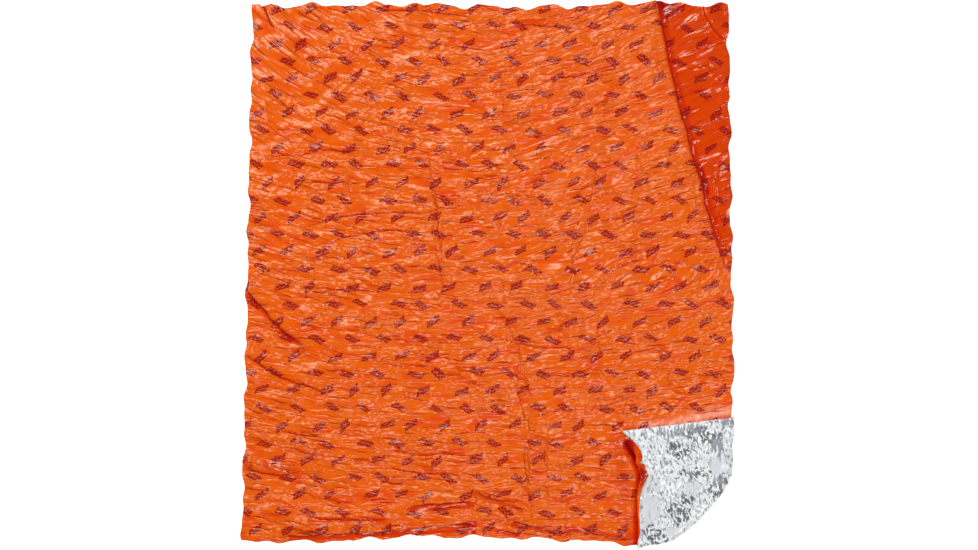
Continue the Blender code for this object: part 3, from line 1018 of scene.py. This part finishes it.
# Where the film is busy with wrinkles, where slanting ones cross them, where the nipped
# lines' painted shade shows, the painted sheen's streaks, and where the ink is paler.
BUSY = (120, 60, 2.0, 0.41, 0.55)
CROSSED = (230, 170, 1.0, 0.48, 0.60)
LINES_SHOW = (80, 20, 1.0, 0.45, 0.60)
SHEEN_STREAKS = (7, 30, 1.0, 0.35, 0.65)
INK_WEAR = (8, 8, 1.0, 0.35, 0.65)


def from_mark(nodes, cells, chance, axis):
    """How far each point is from the middle of its mark, one way, in millimetres."""
    in_cell = nodes.math("FRACT", cells) - 0.5
    return in_cell * MARK_PITCH[axis] + (chance - 0.5) * MARK_SCATTER[axis]


def printed_marks(nodes, plan):
    """1 on the printed marks and 0 between them."""
    x, y, _ = nodes.split("ShaderNodeSeparateXYZ", nodes.wandering(plan, MARK_SWAY))
    rows = y / (MARK_PITCH[1] * MM)
    row = nodes.math("FLOOR", rows)
    # each row is shifted from the last, and its marks tilt the other way
    columns = x / (MARK_PITCH[0] * MM) + row * MARK_ROW_SHIFT
    way = nodes.math("FLOORED_MODULO", row, 2.0) * 2.0 - 1.0
    cell = nodes.out(0, "ShaderNodeCombineXYZ", {0: nodes.math("FLOOR", columns), 1: row})
    scatter = nodes.out("Color", "ShaderNodeTexWhiteNoise", {"Vector": cell})
    scatter = nodes.split("ShaderNodeSeparateColor", scatter)
    in_x = from_mark(nodes, columns, scatter[0], 0)
    in_y = from_mark(nodes, rows, scatter[1], 1)

    least, most = MARK_TILTS
    tilt = nodes.out("Value", "ShaderNodeTexWhiteNoise", {"Vector": cell})
    tilt = nodes.math("RADIANS", tilt * (most - least) + least) * way
    cosine, sine = nodes.math("COSINE", tilt), nodes.math("SINE", tilt)
    mark_x = in_x * cosine + in_y * sine
    mark_y = in_y * cosine - in_x * sine

    tooth = nodes.math("PINGPONG", mark_x, ZIGZAG_TOOTH / 2)
    zigzag = mark_y - tooth * (2 * ZIGZAG_TOOTH_HEIGHT / ZIGZAG_TOOTH)
    line = nodes.math("PINGPONG", zigzag, ZIGZAG_SPACING / 2)
    slanted = nodes.math("ABSOLUTE", mark_x - mark_y * MARK_SHEAR)
    in_length = nodes.math("LESS_THAN", slanted, MARK_SIZE[0] / 2)
    in_height = nodes.math("LESS_THAN", nodes.math("ABSOLUTE", mark_y), MARK_SIZE[1] / 2)
    return in_length * in_height * nodes.math("LESS_THAN", line, ZIGZAG_STROKE / 2)


def nipped_lines(nodes, grain):
    """How near each point is to a nipped line, and how far the line shows there."""
    moved = nodes.wandering(grain, LINE_SWAY)
    across = nodes.split("ShaderNodeSeparateXYZ", moved)[1]
    return nodes.math("PINGPONG", across / MM, LINE_SPACING / 2), nodes.patchy(moved, LINES_SHOW)


def film_relief(nodes, plan, grain):
    """The height of the film's fine wrinkles, in millimetres."""
    bent = nodes.wandering(grain, WRINKLE_SWAY)
    busy = nodes.patchy(grain, BUSY)
    wrinkled = busy * (1 - WRINKLES_LEFT) + WRINKLES_LEFT
    slanting = nodes.bowls(nodes.wandering(plan, SLANTING_SWAY), SLANTING, SLANTING_TURN)
    height = nodes.bowls(bent, FACETS) + nodes.bowls(bent, WRINKLES) * wrinkled
    height = height + nodes.bowls(bent, PEBBLES) * busy
    return height + slanting * nodes.patchy(plan, CROSSED)


def film_tone(nodes, plan, grain, height, painted_shade):
    """The colour of the film between its marks and dark lines, with its painted shade and sheen.
    """
    cloudy = nodes.noise(nodes.scaled(grain, *CLOUDS)) * CLOUD_STRENGTH
    tone = nodes.step(height + cloudy, *TONE_HEIGHTS)
    tone = nodes.mix(tone, ORANGE_LOW_SHADE_AND_TONE, ORANGE)
    tone = nodes.mix(nodes.shade("away") * AWAY_STRENGTH, tone, ORANGE_AWAY_SHADE)
    tone = nodes.mix(nodes.step(painted_shade, *TO_RED), tone, ORANGE_PAINTED_SHADE)
    painted_sheen = nodes.patchy(plan, SHEEN_STREAKS) * SHEEN_MORE + SHEEN_LEAST
    return nodes.mix(nodes.shade("painted_sheen") * painted_sheen, tone, ORANGE_PAINTED_SHEEN)


def dark_lines(nodes, near, shown):
    """How dark the painted shade lines along the nipped lines and the folds are, from 0 to 1."""
    nipped = nodes.step(near, LINE_HALF_WIDTH + LINE_BLUR, LINE_HALF_WIDTH)
    from_line = nodes.math("ABSOLUTE", nodes.shade("from_line"))
    folded = nodes.step(from_line, *FOLD_LINE) * nodes.shade("line")
    return nodes.math("MAXIMUM", nipped * (shown * LINE_DARKNESS), folded)


def orange_film():
    """The printed face: glossy orange film with maroon marks and fine wrinkles, and painted
    shade, sheen and a red glow.
    """
    nodes = Nodes(bpy.data.materials.new("orange_film"))
    plan, grain = nodes.uv("plan"), nodes.uv("grain")
    near, shown = nipped_lines(nodes, grain)
    height = film_relief(nodes, plan, grain)
    painted_shade = nodes.shade("painted_shade")

    tone = film_tone(nodes, plan, grain, height, painted_shade)
    ink = nodes.mix(nodes.patchy(plan, INK_WEAR), MAROON, MAROON_PALE)
    colour = nodes.mix(printed_marks(nodes, plan), tone, ink)
    # painted dark shade lines, then painted black shadow in the deepest hollows
    colour = nodes.mix(dark_lines(nodes, near, shown), colour, ORANGE_SHADE_LINE)
    colour = nodes.mix(nodes.step(painted_shade, *TO_BLACK), colour, DEEP_SHADOW)

    beside_line = nodes.math("MINIMUM", near, LINE_SLOPE_WIDTH) * (shown * LINE_SLOPE)
    kept = nodes.step(painted_shade, *TO_CALM) * -HOLLOW_CALMER + 1.0
    rough = nodes.step(painted_shade, *TO_SMOOTH) * -HOLLOW_SMOOTHER + ROUGHNESS
    looks = {"Base Color": colour, "Roughness": rough, **ORANGE_GLOSS_AND_GLOW}
    return nodes.finish((height + beside_line) * kept, looks)


# The metal's own silver, then the grey, speckled and dark reflections painted on it, and how
# strong the dark ones are.
SILVER = (0.96, 0.965, 0.97, 1)
SILVER_GREY_REFLECTION = (0.74, 0.76, 0.79, 1)
SILVER_SPECK_REFLECTION = (0.06, 0.064, 0.074, 1)
SILVER_DARK_REFLECTION = (0.22, 0.235, 0.27, 1)
SILVER_DARKNESS = 0.8
SILVER_GLOSS = {"Metallic": 0.10, "Roughness": 0.32}
SILVER_SWAY = (40, 40, 20)
# The crinkle, as bowls of a length, a width and a height, and the share of the smaller
# bowls and of the thin strokes that is gone where the film is calm.
LARGE_CRINKLE = (28, 38, 2.4)
MIDDLE_CRINKLE = (13, 20, 2.4)
SMALL_CRINKLE = (7, 11, 1.5)
CALM_SMOOTHS = 0.9
# The patches of painted reflection are ragged with facets, and the dark ones with streaks.
# For each kind: how ragged it is, and the depths in it where it starts and is full.
RAGGED_FACETS = (20, 27)
STREAK_SWAY, STREAKS = (30, 30, 12), (8, 48)
PATCH_EDGES = {
    "speckled": (0.9, 0.38, 0.50),
    "calm": (0.7, 0.40, 0.48),
    "dark": (3.0, 0.45, 0.65),
}
# Facets painted a greyer reflection, small and large, and how grey the large ones and the
# calm film are painted.
GREY_TILES, GREY_TILE_RANGE = (11, 17), (0.55, 1.0)
GREY_FACETS = (52, 70)
FACET_GREY, CALM_GREY = 0.4, 0.8
# Dark strokes of painted reflection between the crinkles, thin all over and thick in the
# speckled patches: the noise's sway, size and turn, detail and roughness, its values where
# each kind starts and is full, and how dark each is.
STROKE_SWAY, STROKES, STROKE_NOISE = (26, 26, 20), (7, 14, 14), (2.0, 0.6)
THIN_STROKES, THIN_DARKNESS = (0.535, 0.585), 0.65
THICK_STROKES, THICK_DARKNESS = (0.47, 0.50), 0.9


def silver_patch(nodes, kind, ragged):
    """How far the silver face is in one kind of patch, from 0 to 1."""
    reach, start, full = PATCH_EDGES[kind]
    return nodes.step((ragged - 0.5) * reach + nodes.shade(kind), start, full)


def painted_silver_grey(nodes, bent, calm):
    """How grey the silver face is painted under its strokes, as reflection, from 0 to 1."""
    tiles = nodes.step(nodes.facets(bent, GREY_TILES), *GREY_TILE_RANGE)
    facets = nodes.math("MAXIMUM", tiles, nodes.facets(bent, GREY_FACETS) * FACET_GREY)
    return nodes.math("MAXIMUM", calm * CALM_GREY, facets)


def painted_silver_strokes(nodes, plan, speckled, crinkled):
    """How dark the painted reflection strokes between the crinkles are, from 0 to 1."""
    place = nodes.scaled(nodes.wandering(plan, STROKE_SWAY), *STROKES)
    noise = nodes.noise(place, *STROKE_NOISE)
    thin = nodes.step(noise, *THIN_STROKES) * crinkled * THIN_DARKNESS
    thick = nodes.step(noise, *THICK_STROKES) * speckled * THICK_DARKNESS
    return nodes.math("MAXIMUM", thick, thin)


def silver_film():
    """The metallised face: bright, thin and sharply crinkled, smoother in places, with grey
    and dark reflections painted on.
    """
    nodes = Nodes(bpy.data.materials.new("silver_film"))
    plan = nodes.uv("plan")
    bent = nodes.wandering(plan, SILVER_SWAY)
    ragged = nodes.facets(bent, RAGGED_FACETS)
    speckled, calm = (silver_patch(nodes, kind, ragged) for kind in ("speckled", "calm"))
    streaks = nodes.noise(nodes.scaled(nodes.wandering(plan, STREAK_SWAY), *STREAKS), 1.0)
    dark = silver_patch(nodes, "dark", streaks)
    crinkled = calm * -CALM_SMOOTHS + 1.0

    small = nodes.bowls(bent, MIDDLE_CRINKLE) + nodes.bowls(bent, SMALL_CRINKLE)
    height = nodes.bowls(bent, LARGE_CRINKLE) + small * crinkled
    colour = nodes.mix(painted_silver_grey(nodes, bent, calm), SILVER, SILVER_GREY_REFLECTION)
    strokes = painted_silver_strokes(nodes, plan, speckled, crinkled)
    colour = nodes.mix(strokes, colour, SILVER_SPECK_REFLECTION)
    colour = nodes.mix(dark * SILVER_DARKNESS, colour, SILVER_DARK_REFLECTION)
    return nodes.finish(height, {"Base Color": colour, **SILVER_GLOSS})


# ---- the floor, the light, the camera

FLOOR_DROP = 0.4
FLOOR_SIZE = 30
# The floor's own light whitens the shade round the sheet.
FLOOR_LOOKS = {
    "Base Color": (0.80, 0.80, 0.80, 1),
    "Emission Color": (1.0, 1.0, 1.0, 1),
    "Emission Strength": 0.75,
    "Roughness": 0.9,
    "Specular IOR Level": 0.0,
}
CAMERA_LENS = 85
SENSOR_WIDTH = 36
# The picture is 978 pixels wide, at 3 mm to a pixel.
FRAME_WIDTH = 978 * 3.0
# The middle of the view, on the sheet's own plan.
FRAME_MIDDLE = (3.0, -1.5)

# Softboxes: place, width, length in metres, and how bright the box itself is.
SOFTBOXES = [
    ((-0.9, 2.7, 4.2), 2.8, 0.9, 16.0),
    ((-3.4, 0.9, 3.4), 2.0, 0.6, 17.5),
    ((3.0, -0.6, 3.9), 2.0, 0.4, 17.0),
    ((0.9, -3.2, 3.7), 2.4, 0.4, 24.0),
]
# How bright the room is, by the height of the direction: 1 is straight up.
ROOM = [(0.0, 0.10), (0.60, 0.10), (0.80, 0.11), (0.90, 0.08), (0.955, 0.04), (1.0, 0.02)]


def floor():
    """A plain pale floor just under the sheet."""
    bpy.ops.mesh.primitive_plane_add(size=FLOOR_SIZE, location=(0, 0, -FLOOR_DROP * MM))
    ground = bpy.context.object
    ground.name = "floor"
    nodes = Nodes(bpy.data.materials.new("floor"))
    nodes.join(nodes.shader, FLOOR_LOOKS)
    ground.data.materials.append(nodes.owner)
    return ground


def room_light():
    """The room: dim all round and darkest overhead, which gives the film contrast."""
    world = bpy.data.worlds.new("room")
    bpy.context.scene.world = world
    nodes = Nodes(world, "Background")
    direction = nodes.out("Generated", "ShaderNodeTexCoord", {})
    upward = nodes.split("ShaderNodeSeparateXYZ", direction)[2]
    ramp = nodes.add("ShaderNodeValToRGB", {"Fac": upward})
    elements = ramp.color_ramp.elements
    while len(elements) < len(ROOM):
        elements.new(0.5)
    for element, (height, brightness) in zip(elements, ROOM):
        element.position = height
        element.color = (brightness, brightness, brightness, 1)
    nodes.join(nodes.shader, {"Color": Output(nodes, ramp.outputs["Color"])})


def softboxes():
    """Long softboxes round the sheet, turned to its middle."""
    for number, (place, width, length, brightness) in enumerate(SOFTBOXES):
        light = bpy.data.lights.new(f"softbox_{number}", "AREA")
        light.shape = "RECTANGLE"
        light.size, light.size_y = width, length
        light.energy = brightness * width * length * math.pi
        lamp = placed(light.name, light)
        lamp.location = place
        away = np.array(place) / np.linalg.norm(place)
        across = np.cross((0, 0, 1), away)
        across /= np.linalg.norm(across)
        upward = np.cross(away, across)
        turned = np.column_stack([across, upward, away])
        lamp.rotation_euler = Matrix(turned.tolist()).to_euler()


def camera():
    """The camera, straight above the sheet with its far end at the top."""
    data = bpy.data.cameras.new("camera")
    data.lens = CAMERA_LENS
    data.sensor_width = SENSOR_WIDTH
    data.clip_end = 100
    eye = placed("camera", data)
    eye.location = (
        (FRAME_MIDDLE[0] + CENTRED[0]) * MM,
        (FRAME_MIDDLE[1] + CENTRED[1]) * MM,
        FRAME_WIDTH * MM * CAMERA_LENS / SENSOR_WIDTH,
    )
    bpy.context.scene.camera = eye


def main():
    bpy.ops.wm.read_factory_settings(use_empty=True)
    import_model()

    orange, silver = faces()
    orange.data.materials.append(orange_film())
    silver.data.materials.append(silver_film())
    for piece, finish in ((orange, "orange_film"), (silver, "silver_film")):
        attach(piece, "root")
    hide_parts("foil_blanket")

    floor()
    room_light()
    softboxes()
    camera()
    bpy.context.scene.view_settings.view_transform = "Standard"


main()
